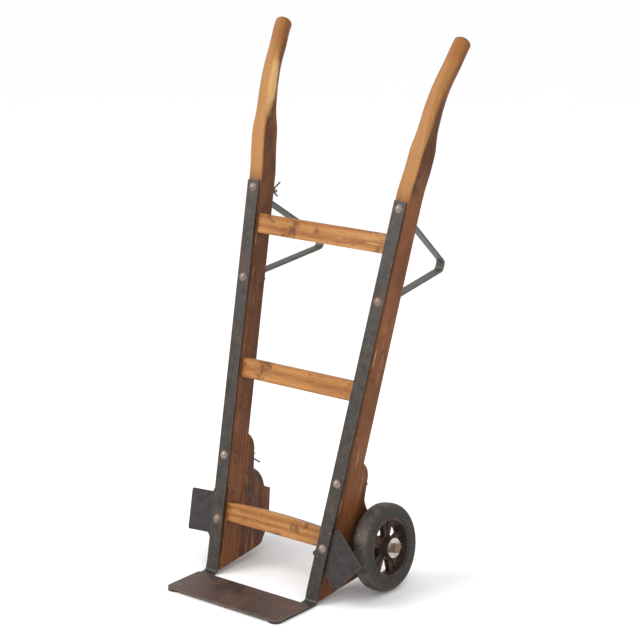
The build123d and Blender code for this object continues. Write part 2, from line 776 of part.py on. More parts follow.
finish(Compound(children=hub_washer_solids), "hub_washers")
finish(Compound(children=cotter_solids), "cotter_pins")
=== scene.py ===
"""Looks for an old wooden warehouse hand truck: varnished rails and cross bars, dark ironwork,
solid rubber tyres on cast wheels, and a plain studio floor.

Laid out as an add-on and run as a script. Lengths are in metres, +Z up, the toe plate to -Y.
"""

import json
import math

import bpy
from mathutils import Matrix, Vector


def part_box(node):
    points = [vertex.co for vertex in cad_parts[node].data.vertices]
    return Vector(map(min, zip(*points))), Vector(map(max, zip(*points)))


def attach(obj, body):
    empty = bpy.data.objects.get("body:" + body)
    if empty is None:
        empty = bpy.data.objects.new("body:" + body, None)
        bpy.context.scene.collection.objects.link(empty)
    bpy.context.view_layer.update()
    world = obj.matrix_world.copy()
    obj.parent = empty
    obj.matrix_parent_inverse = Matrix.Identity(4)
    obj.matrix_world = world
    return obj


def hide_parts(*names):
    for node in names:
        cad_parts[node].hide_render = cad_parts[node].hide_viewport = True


bl_info = {
    "name": "Old Hand Truck",
    "version": (1, 0, 0),
    "blender": (4, 5, 0),
    "location": "3D View > Sidebar > Hand Truck",
    "description": "Finishes an old wooden hand truck and sets it on a studio floor",
    "category": "Object",
}

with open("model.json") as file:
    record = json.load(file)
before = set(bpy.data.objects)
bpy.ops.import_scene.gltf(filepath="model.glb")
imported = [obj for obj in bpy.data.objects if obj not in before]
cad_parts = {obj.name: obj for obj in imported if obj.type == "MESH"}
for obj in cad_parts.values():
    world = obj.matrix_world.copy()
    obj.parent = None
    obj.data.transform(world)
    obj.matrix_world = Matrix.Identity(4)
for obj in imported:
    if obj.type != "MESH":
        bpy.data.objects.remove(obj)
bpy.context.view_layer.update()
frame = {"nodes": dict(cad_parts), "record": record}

TOE_REACH = 0.138  # the straps' feet reach this far in front of the heel
HEEL_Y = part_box("strap_right")[0].y + TOE_REACH
LEAN = math.radians(15.3)
SPLAY = math.atan(0.07)
WHEEL_SIDES = ("left", "right")

# a patch below the left tip, rubbed bare: its middle, its half sizes and its lean
BARE_PATCH = (-0.224, HEEL_Y + 0.332, 1.108)
BARE_PATCH_SIZE = (0.013, 0.013, 0.080)
BARE_PATCH_TURN = (math.radians(21.85), math.radians(5.04), 0)

# the ribs along the wheels' spokes, measured from the wheel's middle
SPOKE_COUNT = 5
WINDOW_PHASE = math.radians(40)  # where the first window between two spokes is
RIB_HUB_END = 0.0225
RIB_RIM_END = 0.0635
RIB_FOOT_WIDTH = 0.0060
RIB_TOP_WIDTH = 0.0024
RIB_ROOT = 0.0038  # the ribs start inside the web
WEB_FACE = 0.0058
RIB_RIM_SHARE = 0.5  # of the rib height, at the rim
RIB_HUB_SHARE = 1.6  # and at the hub

# the camera, round the truck and above it, aimed a little aside of its middle
CAMERA_AZIMUTH = math.radians(38.355)
CAMERA_ELEVATION = math.radians(14.701)
CAMERA_ROLL = math.radians(-0.089)
CAMERA_SENSOR = 36
AIM_HEIGHT = 0.65
AIM_ASIDE = 0.14106
AIM_BELOW = 0.01065


# ---------------------------------------------------------------- settings
def colour_setting(name, description, default):
    """A colour a user may change."""
    return bpy.props.FloatVectorProperty(
        name=name, description=description, default=default, size=3, min=0, max=1, subtype="COLOR"
    )


def length_setting(name, description, default):
    """A length a user may change."""
    return bpy.props.FloatProperty(
        name=name, description=description, default=default, min=0, unit="LENGTH"
    )


class TruckWoodSettings(bpy.types.PropertyGroup):
    """Colours and wear of the wood."""

    rail_dark: colour_setting("Rail Dark", "Dark grain of the rails", (0.050, 0.0125, 0.003))
    rail_light: colour_setting("Rail Light", "Light grain of the rails", (0.20, 0.062, 0.012))
    bar_dark: colour_setting("Bar Dark", "Dark grain of the cross bars", (0.21, 0.072, 0.015))
    bar_light: colour_setting("Bar Light", "Light grain of the cross bars", (0.46, 0.215, 0.065))
    worn: colour_setting("Worn", "Wood whose varnish is worn off", (0.66, 0.40, 0.16))
    stain: colour_setting("Stain", "Old stains in the wood", (0.030, 0.010, 0.004))
    grain_width: length_setting("Grain Width", "Width of a band of grain", 0.011)


class TruckIronSettings(bpy.types.PropertyGroup):
    """Colours and wear of the ironwork."""

    strap: colour_setting("Strap", "Face straps", (0.045, 0.038, 0.032))
    toe: colour_setting("Toe Plate", "Toe plate", (0.078, 0.052, 0.045))
    guard: colour_setting("Guard", "Guard plates", (0.036, 0.031, 0.031))
    stay: colour_setting("Stay", "Rest stays", (0.075, 0.073, 0.062))
    bolt: colour_setting("Bolt", "Bolt heads", (0.26, 0.20, 0.175))
    rust: colour_setting("Rust", "Rust and brown patina", (0.16, 0.075, 0.042))
    rubbed: colour_setting("Rubbed", "Metal rubbed along an edge", (0.36, 0.31, 0.27))


class TruckWheelSettings(bpy.types.PropertyGroup):
    """Sizes and colours of the wheels."""

    rubber: colour_setting("Rubber", "Solid tyres", (0.021, 0.019, 0.018))
    dust: colour_setting("Dust", "Dust on the tread", (0.15, 0.120, 0.090))
    casting: colour_setting("Casting", "Cast wheel centres", (0.019, 0.012, 0.008))
    washer: colour_setting("Washer", "Rubbed hub washers", (0.56, 0.50, 0.46))
    tread_radius: length_setting("Tread Radius", "Radius of the tyre's tread", 0.1014)
    inner_radius: length_setting("Inner Radius", "Radius where the tyre meets its rim", 0.0698)
    tyre_width: length_setting("Tyre Width", "Width of the tyre", 0.0416)
    rib_height: length_setting("Rib Height", "How far the spokes' ribs stand out", 0.0045)


class TruckStageSettings(bpy.types.PropertyGroup):
    """Floor, lights and camera."""

    floor: colour_setting("Floor", "Floor colour", (0.93, 0.93, 0.93))
    key_power: bpy.props.FloatProperty(
        name="Key Light", description="Power of the large light", default=95.0, min=0, unit="POWER"
    )
    fill_power: bpy.props.FloatProperty(
        name="Fill Light", description="Power of the fill light", default=16.0, min=0, unit="POWER"
    )
    sky: bpy.props.FloatProperty(
        name="Surround", description="Brightness of the white surround", default=1.06, min=0
    )
    lens: bpy.props.FloatProperty(
        name="Lens", description="Focal length of the camera", default=111.0, min=1, unit="CAMERA"
    )
    distance: length_setting("Distance", "From the camera to the truck", 4.37666)


# ---------------------------------------------------------------- node building
def add_node(tree, kind, place, values=(), **settings):
    """A node at a place in the tree, with its settings and the values of its named inputs."""
    node = tree.nodes.new(kind)
    node.location = (place[0] * 190, place[1] * -170)
    for name, value in settings.items():
        setattr(node, name, value)
    for name, value in dict(values).items():
        node.inputs[name].default_value = value
    return node


def link(tree, source, target):
    """Join an output to an input."""
    tree.links.new(source, target)


def maths(tree, operation, first, second, place, clamp=False):
    """A Math node on two values, each a number or a socket."""
    node = add_node(tree, "ShaderNodeMath", place, operation=operation, use_clamp=clamp)
    for number, value in enumerate((first, second)):
        if isinstance(value, (int, float)):
            node.inputs[number].default_value = value
        else:
            link(tree, value, node.inputs[number])
    return node.outputs[0]


def mixed(tree, share, first, second, place, blend="MIX"):
    """A colour Mix node; each input is a socket or a constant."""
    node = add_node(tree, "ShaderNodeMix", place, data_type="RGBA", blend_type=blend)
    for socket, value in ((node.inputs[0], share), (node.inputs[6], first), (node.inputs[7], second)):
        if isinstance(value, bpy.types.NodeSocket):
            link(tree, value, socket)
        elif isinstance(value, (int, float)):
            socket.default_value = value
        else:
            socket.default_value = (*value, 1)
    return node.outputs[2]


def ramp(tree, source, place, stops):
    """A value through a ramp of grey stops, given as (position, grey)."""
    node = add_node(tree, "ShaderNodeValToRGB", place)
    points = node.color_ramp.elements
    while len(points) < len(stops):
        points.new(0.5)
    for point, (position, grey) in zip(points, stops):
        point.position = position
        point.color = (grey, grey, grey, 1)
    link(tree, source, node.inputs[0])
    return node.outputs[0]


def noise(tree, vector, scale, detail, place, roughness=0.5, distortion=0.0):
    """A noise texture's value."""
    values = {"Scale": scale, "Detail": detail, "Roughness": roughness, "Distortion": distortion}
    node = add_node(tree, "ShaderNodeTexNoise", place, values)
    link(tree, vector, node.inputs["Vector"])
    return node.outputs[0]


def stretched(tree, vector, scale, place):
    """A vector scaled unequally."""
    node = add_node(tree, "ShaderNodeMapping", place, {"Scale": scale})
    link(tree, vector, node.inputs["Vector"])
    return node.outputs[0]


def new_group(name, inputs, outputs):
    """An empty node group with named sockets, its input node and its output node."""
    group = bpy.data.node_groups.new(name, "ShaderNodeTree")
    for kind, sockets in (("INPUT", inputs), ("OUTPUT", outputs)):
        for label, socket_type, default in sockets:
            socket = group.interface.new_socket(name=label, in_out=kind, socket_type=socket_type)
            if default is not None:
                socket.default_value = default
    entry = add_node(group, "NodeGroupInput", (-8, 0))
    leave = add_node(group, "NodeGroupOutput", (8, 0))
    return group, entry.outputs, leave.inputs


FLOAT, COLOUR, VECTOR = "NodeSocketFloat", "NodeSocketColor", "NodeSocketVector"


def make_edge_wear():
    """Mask of worn edges: where the rounded normal leaves the true one, broken up by noise."""
    name = "Edge Wear"
    if name in bpy.data.node_groups:
        return bpy.data.node_groups[name]
    group, entry, leave = new_group(
        name,
        [("Vector", VECTOR, None), ("Width", FLOAT, 0.002), ("Break Up", FLOAT, 0.5)],
        [("Mask", FLOAT, None)],
    )
    rounded = add_node(group, "ShaderNodeBevel", (-6, 0), samples=6)
    link(group, entry["Width"], rounded.inputs["Radius"])
    flat = add_node(group, "ShaderNodeNewGeometry", (-6, 1))
    turned = add_node(group, "ShaderNodeVectorMath", (-5, 0), operation="DOT_PRODUCT")
    link(group, rounded.outputs[0], turned.inputs[0])
    link(group, flat.outputs["Normal"], turned.inputs[1])
    bend = maths(group, "SUBTRACT", 1.0, turned.outputs["Value"], (-4, 0))
    edge = ramp(group, bend, (-3, 0), ((0.01, 0.0), (0.16, 1.0)))
    spots = noise(group, entry["Vector"], 70.0, 5.0, (-5, 2), roughness=0.7)
    broken = ramp(group, spots, (-4, 2), ((0.38, 0.0), (0.62, 1.0)))
    kept = maths(group, "SUBTRACT", 1.0, entry["Break Up"], (-3, 2))
    shown = maths(group, "MAXIMUM", broken, kept, (-2, 2))
    link(group, maths(group, "MULTIPLY", edge, shown, (-1, 0), clamp=True), leave["Mask"])
    return group


def make_wood_grain():
    """Grain that runs along Z: broad bands, fine fibres and short dark pores."""
    name = "Wood Grain"
    if name in bpy.data.node_groups:
        return bpy.data.node_groups[name]
    group, entry, leave = new_group(
        name,
        [("Vector", VECTOR, None), ("Band Width", FLOAT, 0.012)],
        [(label, FLOAT, None) for label in ("Bands", "Fibres", "Pores", "Height")],
    )
    slow = stretched(group, entry["Vector"], (1, 1, 0.055), (-7, 0))
    sway = noise(group, slow, 16.0, 3.0, (-6, 1))
    count = maths(group, "DIVIDE", 1.0, entry["Band Width"], (-6, 2))
    wave = add_node(
        group, "ShaderNodeTexWave", (-4, 0), {"Distortion": 7.0, "Detail": 2.0, "Detail Scale": 1.2}
    )
    link(group, slow, wave.inputs["Vector"])
    link(group, maths(group, "MULTIPLY", count, 0.16, (-5, 2)), wave.inputs["Scale"])
    link(group, maths(group, "MULTIPLY", sway, 6.0, (-5, 1)), wave.inputs["Phase Offset"])
    link(group, wave.outputs["Fac"], leave["Bands"])
    fine = stretched(group, entry["Vector"], (1, 1, 0.028), (-7, 3))
    fibres = noise(group, fine, 620.0, 4.0, (-6, 3), roughness=0.65)
    link(group, fibres, leave["Fibres"])
    short = stretched(group, entry["Vector"], (1, 1, 0.09), (-7, 4))
    pore_noise = noise(group, short, 900.0, 2.0, (-6, 4))
    pores = ramp(group, pore_noise, (-5, 4), ((0.60, 0.0), (0.70, 1.0)))
    link(group, pores, leave["Pores"])
    height = maths(group, "SUBTRACT", fibres, maths(group, "MULTIPLY", pores, 0.7, (-4, 4)), (-3, 4))
    link(group, height, leave["Height"])
    return group


def make_blotches():
    """Irregular patches with soft edges, for stains, rust, dust and patina."""
    name = "Blotches"
    if name in bpy.data.node_groups:
        return bpy.data.node_groups[name]
    group, entry, leave = new_group(
        name,
        [("Vector", VECTOR, None), ("Scale", FLOAT, 10.0), ("Cover", FLOAT, 0.4), ("Softness", FLOAT, 0.1)],
        [("Mask", FLOAT, None)],
    )
    values = {"Detail": 7.0, "Roughness": 0.62, "Distortion": 0.4}
    node = add_node(group, "ShaderNodeTexNoise", (-6, 0), values)
    link(group, entry["Vector"], node.inputs["Vector"])
    link(group, entry["Scale"], node.inputs["Scale"])
    level = maths(group, "SUBTRACT", 1.0, entry["Cover"], (-5, 1))
    low = maths(group, "SUBTRACT", level, entry["Softness"], (-4, 1))
    high = maths(group, "ADD", level, entry["Softness"], (-4, 2))
    step = add_node(group, "ShaderNodeMapRange", (-3, 0), interpolation_type="SMOOTHSTEP")
    link(group, node.outputs[0], step.inputs["Value"])
    link(group, low, step.inputs["From Min"])
    link(group, high, step.inputs["From Max"])
    link(group, step.outputs[0], leave["Mask"])
    return group


def make_scratches():
    """Sparse fine scratches in two directions."""
    name = "Scratches"
    if name in bpy.data.node_groups:
        return bpy.data.node_groups[name]
    group, entry, leave = new_group(
        name, [("Vector", VECTOR, None), ("Amount", FLOAT, 0.5)], [("Mask", FLOAT, None)]
    )
    found = []
    for number, (turn, scale) in enumerate((((0.5, 0.35, 0.2), 240.0), ((-0.4, -0.7, 0.9), 300.0))):
        values = {"Rotation": turn, "Scale": (1, 1, 0.035)}
        turned = add_node(group, "ShaderNodeMapping", (-7, number * 2), values)
        link(group, entry["Vector"], turned.inputs["Vector"])
        lines = noise(group, turned.outputs[0], scale, 1.0, (-6, number * 2))
        thin = ramp(group, lines, (-5, number * 2), ((0.715, 0.0), (0.745, 1.0)))
        found.append(thin)
    both = maths(group, "MAXIMUM", found[0], found[1], (-3, 0))
    patch = noise(group, entry["Vector"], 9.0, 2.0, (-5, 5))
    some = ramp(group, patch, (-4, 5), ((0.42, 0.0), (0.56, 1.0)))
    shown = maths(group, "MULTIPLY", both, some, (-2, 0))
    link(group, maths(group, "MULTIPLY", shown, entry["Amount"], (-1, 0)), leave["Mask"])
    return group


def use_group(tree, group, place, values=(), **links):
    """A node group placed in a material, with its values and links."""
    node = add_node(tree, "ShaderNodeGroup", place)
    node.node_tree = group
    for name, value in dict(values).items():
        node.inputs[name].default_value = value
    for name, source in links.items():
        link(tree, source, node.inputs[name.replace("_", " ").title()])
    return node.outputs


def start_material(name):
    """A material with its tree, shader and object coordinates."""
    material = bpy.data.materials.new(name)
    material.use_nodes = True
    tree = material.node_tree
    tree.nodes.clear()
    shader = add_node(tree, "ShaderNodeBsdfPrincipled", (8, 0))
    output = add_node(tree, "ShaderNodeOutputMaterial", (10, 0))
    link(tree, shader.outputs[0], output.inputs[0])
    coordinates = add_node(tree, "ShaderNodeTexCoord", (-10, 0))
    return material, tree, shader, coordinates.outputs


def bump(tree, height, strength, distance, shader, place=(6, 4)):
    """A Bump node that feeds the shader's normal."""
    node = add_node(tree, "ShaderNodeBump", place, {"Strength": strength, "Distance": distance})
    link(tree, height, node.inputs["Height"])
    link(tree, node.outputs[0], shader.inputs["Normal"])


def height_mask(tree, coordinates, low, high, place):
    """0 below one height, 1 above the other."""
    parts = add_node(tree, "ShaderNodeSeparateXYZ", place)
    link(tree, coordinates["Object"], parts.inputs[0])
    step = add_node(
        tree,
        "ShaderNodeMapRange",
        (place[0] + 1, place[1]),
        {"From Min": low, "From Max": high},
        interpolation_type="SMOOTHSTEP",
    )
    link(tree, parts.outputs[2], step.inputs["Value"])
    return step.outputs[0]


# ---------------------------------------------------------------- wood
def wood_material(name, dark, light, settings, turn, offset, stain_cover=0.36, handles=False):
    """Old varnished wood whose grain runs along the turned Z axis."""
    material, tree, shader, coordinates = start_material(name)
    laid = add_node(tree, "ShaderNodeMapping", (-9, 0), {"Rotation": turn, "Location": offset})
    link(tree, coordinates["Object"], laid.inputs["Vector"])
    vector = laid.outputs[0]
    grain = use_group(tree, make_wood_grain(), (-7, 0), {"Band Width": settings.grain_width}, vector=vector)
    share = maths(tree, "MULTIPLY", grain["Fibres"], 0.78, (-6, 1))
    share = maths(tree, "ADD", share, maths(tree, "MULTIPLY", grain["Bands"], 0.22, (-6, 2)), (-5, 1))
    share = ramp(tree, share, (-5, 0), ((0.30, 0.0), (0.66, 1.0)))
    colour = mixed(tree, share, dark, light, (-4, 0))
    # broad uneven ageing of the varnish
    ageing = use_group(
        tree, make_blotches(), (-7, 4), {"Scale": 7.0, "Cover": 0.5, "Softness": 0.22}, vector=vector
    )
    aged = maths(tree, "MULTIPLY", ageing["Mask"], 0.38, (-6, 4))
    colour = mixed(tree, aged, colour, dark, (-3, 0))
    stain_values = {"Scale": 21.0, "Cover": stain_cover, "Softness": 0.05}
    stains = use_group(tree, make_blotches(), (-7, 6), stain_values, vector=vector)
    stained = maths(tree, "MULTIPLY", stains["Mask"], 0.62, (-6, 6))
    colour = mixed(tree, stained, colour, settings.stain, (-2, 0))
    pores = maths(tree, "MULTIPLY", grain["Pores"], 0.6, (-6, 7))
    colour = mixed(tree, pores, colour, settings.stain, (-1, 0))
    edges = use_group(
        tree, make_edge_wear(), (-7, 8), {"Width": 0.0022, "Break Up": 0.75}, vector=vector
    )
    rubbed = maths(tree, "MULTIPLY", edges["Mask"], 0.5, (-6, 8))
    colour = mixed(tree, rubbed, colour, settings.worn, (0, 0))
    marks = use_group(tree, make_scratches(), (-7, 10), {"Amount": 0.6}, vector=vector)
    colour = mixed(tree, marks["Mask"], colour, settings.worn, (1, 0))
    flecks = use_group(
        tree, make_blotches(), (-7, 11), {"Scale": 150.0, "Cover": 0.335, "Softness": 0.03}, vector=vector
    )
    flecked = maths(tree, "MULTIPLY", flecks["Mask"], 0.35, (-6, 11))
    colour = mixed(tree, flecked, colour, settings.worn, (1, 1))
    # the handles get real wear and, on their upper front-facing faces, painted light
    if handles:
        colour = handle_wear_and_painted_light(tree, coordinates, vector, colour, settings)
    link(tree, colour, shader.inputs["Base Color"])
    rough = maths(tree, "MULTIPLY", ageing["Mask"], 0.22, (5, 2))
    link(tree, maths(tree, "ADD", rough, 0.36, (6, 2)), shader.inputs["Roughness"])
    shader.inputs["Specular IOR Level"].default_value = 0.22
    dents = maths(tree, "MULTIPLY", stains["Mask"], -0.5, (4, 4))
    depth = maths(tree, "ADD", grain["Height"], dents, (5, 4))
    depth = maths(tree, "SUBTRACT", depth, marks["Mask"], (5, 5))
    bump(tree, depth, 0.35, 0.0006, shader)
    return material


def handle_wear_and_painted_light(tree, coordinates, vector, colour, settings):
    """Handles paler than the rails on their upper front-facing faces, partly real paler wood and partly
    painted light, with a patch rubbed bare below the left tip.
    """
    # painted light: upper faces turned to the front are painted paler, partly real paler wood and partly
    # painted light on the lamp's side
    upper = height_mask(tree, coordinates, 0.86, 0.93, (-9, 12))
    facing = add_node(tree, "ShaderNodeVectorMath", (-9, 13), operation="DOT_PRODUCT")
    link(tree, coordinates["Normal"], facing.inputs[0])
    facing.inputs[1].default_value = (0.25, -0.93, 0.26)
    front = ramp(tree, facing.outputs["Value"], (-8, 13), ((0.30, 0.0), (0.80, 1.0)))
    pale = maths(tree, "MULTIPLY", maths(tree, "MULTIPLY", upper, front, (-7, 12)), 0.62, (-6, 12))
    colour = mixed(tree, pale, colour, settings.bar_light, (2, 0))
    # the bare patch: an ellipsoid that leans with the left handle, with a ragged edge
    offset = add_node(tree, "ShaderNodeVectorMath", (-9, 15), operation="SUBTRACT")
    link(tree, coordinates["Object"], offset.inputs[0])
    offset.inputs[1].default_value = BARE_PATCH
    laid = add_node(tree, "ShaderNodeMapping", (-8, 14), {"Rotation": BARE_PATCH_TURN})
    link(tree, offset.outputs[0], laid.inputs["Vector"])
    squeezed = add_node(tree, "ShaderNodeVectorMath", (-8, 15), operation="DIVIDE")
    link(tree, laid.outputs[0], squeezed.inputs[0])
    squeezed.inputs[1].default_value = BARE_PATCH_SIZE
    reach = add_node(tree, "ShaderNodeVectorMath", (-7, 15), operation="LENGTH")
    link(tree, squeezed.outputs[0], reach.inputs[0])
    ragged = maths(tree, "MULTIPLY", noise(tree, vector, 60.0, 5.0, (-8, 16)), 0.5, (-7, 16))
    reach_out = maths(tree, "ADD", reach.outputs["Value"], ragged, (-6, 15))
    nearness = maths(tree, "MULTIPLY", reach_out, 0.5, (-6, 16))
    bare = ramp(tree, nearness, (-5, 15), ((0.40, 1.0), (0.68, 0.0)))
    colour = mixed(tree, maths(tree, "MULTIPLY", bare, 0.8, (-4, 15)), colour, settings.worn, (3, 0))
    # the tips are darker and redder with handling
    tips = height_mask(tree, coordinates, 1.185, 1.215, (-9, 18))
    return mixed(tree, maths(tree, "MULTIPLY", tips, 0.45, (-6, 18)), colour, settings.rail_light, (4, 0))


def put_on(names, material):
    """A material on CAD nodes."""
    for name in names:
        node = frame["nodes"][name]
        node.data.materials.clear()
        node.data.materials.append(material)


class TRUCK_OT_finish_wood(bpy.types.Operator):
    """Give the rails, axle blocks and cross bars their old varnished wood"""

    bl_idname = "truck.finish_wood"
    bl_label = "Finish Wood"

    def execute(self, context):
        settings = context.scene.truck_wood
        for number, (side, sign) in enumerate((("left", -1), ("right", 1))):
            turn = (LEAN, -sign * SPLAY, 0)
            rail = wood_material(
                f"Rail_Wood_{side}",
                settings.rail_dark,
                settings.rail_light,
                settings,
                turn,
                offset=(0.31 * number, 0.17 * number, 0),
                handles=True,
            )
            put_on([f"rail_{side}"], rail)
            block = wood_material(
                f"Block_Wood_{side}",
                settings.rail_dark,
                settings.rail_light,
                settings,
                (LEAN, -sign * SPLAY, 0.4),
                offset=(0.5, 0.23 * number + 0.4, 0.1),
                stain_cover=0.44,
            )
            put_on([f"axle_block_{side}"], block)
        for number, level in enumerate(("bottom", "middle", "top")):
            bar = wood_material(
                f"Bar_Wood_{level}",
                settings.bar_dark,
                settings.bar_light,
                settings,
                (0, math.pi / 2, 0),
                offset=(0.19 * number, 0.43 * number, 0.07 * number),
                stain_cover=0.40,
            )
            put_on([f"crossbar_{level}"], bar)
        return {"FINISHED"}


# ---------------------------------------------------------------- iron
def iron_material(name, base, settings, rust_cover=0.35, roughness=0.52, wear=0.5, pits=0.3, metal=0.55):
    """Old iron: mottled dark scale, brown patina, rubbed edges and small pits."""
    material, tree, shader, coordinates = start_material(name)
    vector = coordinates["Object"]
    mottle = noise(tree, vector, 55.0, 8.0, (-8, 0), roughness=0.68)
    grey = ramp(tree, mottle, (-7, 0), ((0.34, 0.0), (0.68, 1.0)))
    darker = tuple(channel * 0.62 for channel in base)
    lighter = tuple(min(1, channel * 1.38) for channel in base)
    colour = mixed(tree, grey, darker, lighter, (-5, 0))
    rust = use_group(
        tree, make_blotches(), (-8, 3), {"Scale": 13.0, "Cover": rust_cover, "Softness": 0.16}, vector=vector
    )
    rusted = maths(tree, "MULTIPLY", rust["Mask"], 0.5, (-6, 3))
    colour = mixed(tree, rusted, colour, settings.rust, (-3, 0))
    edges = use_group(
        tree, make_edge_wear(), (-8, 5), {"Width": 0.0016, "Break Up": 0.45}, vector=vector
    )
    rubbed = maths(tree, "MULTIPLY", edges["Mask"], wear, (-6, 5))
    colour = mixed(tree, rubbed, colour, settings.rubbed, (-1, 0))
    marks = use_group(tree, make_scratches(), (-8, 7), {"Amount": wear * 0.5}, vector=vector)
    colour = mixed(tree, marks["Mask"], colour, settings.rubbed, (1, 0))
    link(tree, colour, shader.inputs["Base Color"])
    shader.inputs["Metallic"].default_value = metal
    rough = maths(tree, "MULTIPLY", rust["Mask"], 0.22, (3, 2))
    rough = maths(tree, "ADD", rough, maths(tree, "MULTIPLY", grey, 0.12, (3, 3)), (4, 2))
    rough = maths(tree, "ADD", rough, roughness - 0.1, (5, 2))
    rough = maths(tree, "SUBTRACT", rough, maths(tree, "MULTIPLY", edges["Mask"], 0.12, (4, 3)), (6, 2))
    link(tree, rough, shader.inputs["Roughness"])
    pitted = noise(tree, vector, 420.0, 4.0, (-8, 9), roughness=0.6)
    swell = maths(tree, "MULTIPLY", mottle, 1.5, (-6, 9))
    bump(tree, maths(tree, "ADD", pitted, swell, (-5, 9)), pits, 0.0005, shader)
    return material


class TRUCK_OT_finish_iron(bpy.types.Operator):
    """Give the straps, toe plate, guards and stays their old iron"""

    bl_idname = "truck.finish_iron"
    bl_label = "Finish Ironwork"

    def execute(self, context):
        settings = context.scene.truck_iron
        strap = iron_material("Strap_Iron", settings.strap, settings, rust_cover=0.3, wear=0.45)
        put_on(["strap_left", "strap_right"], strap)
        toe = iron_material("Toe_Iron", settings.toe, settings, rust_cover=0.5, roughness=0.46, wear=0.8)
        put_on(["toe_plate", "toe_rivets"], toe)
        guard = iron_material(
            "Guard_Iron", settings.guard, settings, rust_cover=0.3, wear=0.35, roughness=0.6
        )
        put_on(["guard_plate_left", "guard_plate_right"], guard)
        stay = iron_material("Stay_Iron", settings.stay, settings, rust_cover=0.25, wear=0.35)
        put_on(["stay_left", "stay_right"], stay)
        return {"FINISHED"}


class TRUCK_OT_finish_fastenings(bpy.types.Operator):
    """Give the bolts, nuts, washers, pins and tie wires their worn metal"""

    bl_idname = "truck.finish_fastenings"
    bl_label = "Finish Fastenings"

    def execute(self, context):
        settings = context.scene.truck_iron
        bolt = iron_material(
            "Bolt_Iron", settings.bolt, settings, rust_cover=0.4, roughness=0.44, wear=0.5, metal=0.8
        )
        put_on(["stay_bolts", "block_bolts", "guard_bolts"], bolt)
        dull = iron_material("Nut_Iron", settings.strap, settings, rust_cover=0.5, wear=0.3)
        put_on(["square_nuts", "bolt_washers", "wire_tie_upper", "wire_tie_lower"], dull)
        axle = iron_material("Axle_Iron", settings.bolt, settings, rust_cover=0.62, wear=0.5, pits=0.5)
        put_on(["axle", "cotter_pins"], axle)
        washer = iron_material(
            "Washer_Iron",
            context.scene.truck_wheel.washer,
            settings,
            rust_cover=0.34,
            roughness=0.42,
            wear=0.3,
            pits=0.5,
            metal=0.7,
        )
        put_on(["hub_washers"], washer)
        return {"FINISHED"}


# ---------------------------------------------------------------- wheels
def wheel_joint(side):
    """The middle and the outward axis of one wheel."""
    for joint in frame["record"]["behaviour"]["joints"]:
        if joint["child"] == f"wheel_{side}":
            return Vector(joint["pos_m"]), Vector(joint["axis"]).normalized()
    raise RuntimeError(f"no joint turns wheel_{side}")


def wheel_placement(side):
    """Turns a wheel made flat on Z at the origin into its own place."""
    middle, outward = wheel_joint(side)
    rearward = Vector((0, 0, 1)).cross(outward).normalized()
    up = outward.cross(rearward)
    turn = Matrix((rearward, up, outward)).transposed().to_4x4()
    return Matrix.Translation(middle) @ turn


def deselect():
    """Nothing selected and nothing being edited."""
    if bpy.context.object and bpy.context.object.mode != "OBJECT":
        bpy.ops.object.mode_set(mode="OBJECT")
    bpy.ops.object.select_all(action="DESELECT")


def active_mesh(name):
    """The object just added, named."""
    piece = bpy.context.object
    piece.name = name
    piece.data.name = name
    return piece


def apply_modifiers(piece):
    """All of a piece's modifiers made part of its mesh."""
    deselect()
    bpy.context.view_layer.objects.active = piece
    piece.select_set(True)
    for modifier in list(piece.modifiers):
        bpy.ops.object.modifier_apply(modifier=modifier.name)


def add_modifier(piece, kind, **settings):
    """A modifier with its settings."""
    modifier = piece.modifiers.new(kind.title(), kind)
    for name, value in settings.items():
        setattr(modifier, name, value)
    return modifier


def settle(piece, matrix):
    """A piece put in its place, with the place in its mesh."""
    deselect()
    bpy.context.view_layer.objects.active = piece
    piece.select_set(True)
    piece.matrix_world = matrix
    bpy.ops.object.transform_apply(location=True, rotation=True, scale=True)


def lathe(name, outline, steps):
    """A closed outline of (radius, height) points turned once round Z."""
    deselect()
    radius, height = outline[0]
    bpy.ops.mesh.primitive_plane_add(size=0.001, location=(radius, 0, height))
    piece = active_mesh(name)
    bpy.ops.object.transform_apply(location=True, rotation=True, scale=True)
    bpy.ops.object.mode_set(mode="EDIT")
    bpy.ops.mesh.select_all(action="SELECT")
    bpy.ops.mesh.merge(type="CENTER")
    # drawn from point to point, and back to the first
    for (radius, height), (next_radius, next_height) in zip(outline, outline[1:] + outline[:1]):
        step = (next_radius - radius, 0, next_height - height)
        bpy.ops.mesh.extrude_vertices_move(TRANSFORM_OT_translate={"value": step})
    bpy.ops.mesh.select_all(action="SELECT")
    bpy.ops.mesh.remove_doubles(threshold=0.00002)
    bpy.ops.mesh.spin(steps=steps, angle=math.tau, center=(0, 0, 0), axis=(0, 0, 1))
    bpy.ops.mesh.select_all(action="SELECT")
    bpy.ops.mesh.remove_doubles(threshold=0.00002)
    bpy.ops.mesh.normals_make_consistent(inside=False)
    bpy.ops.object.mode_set(mode="OBJECT")
    return piece


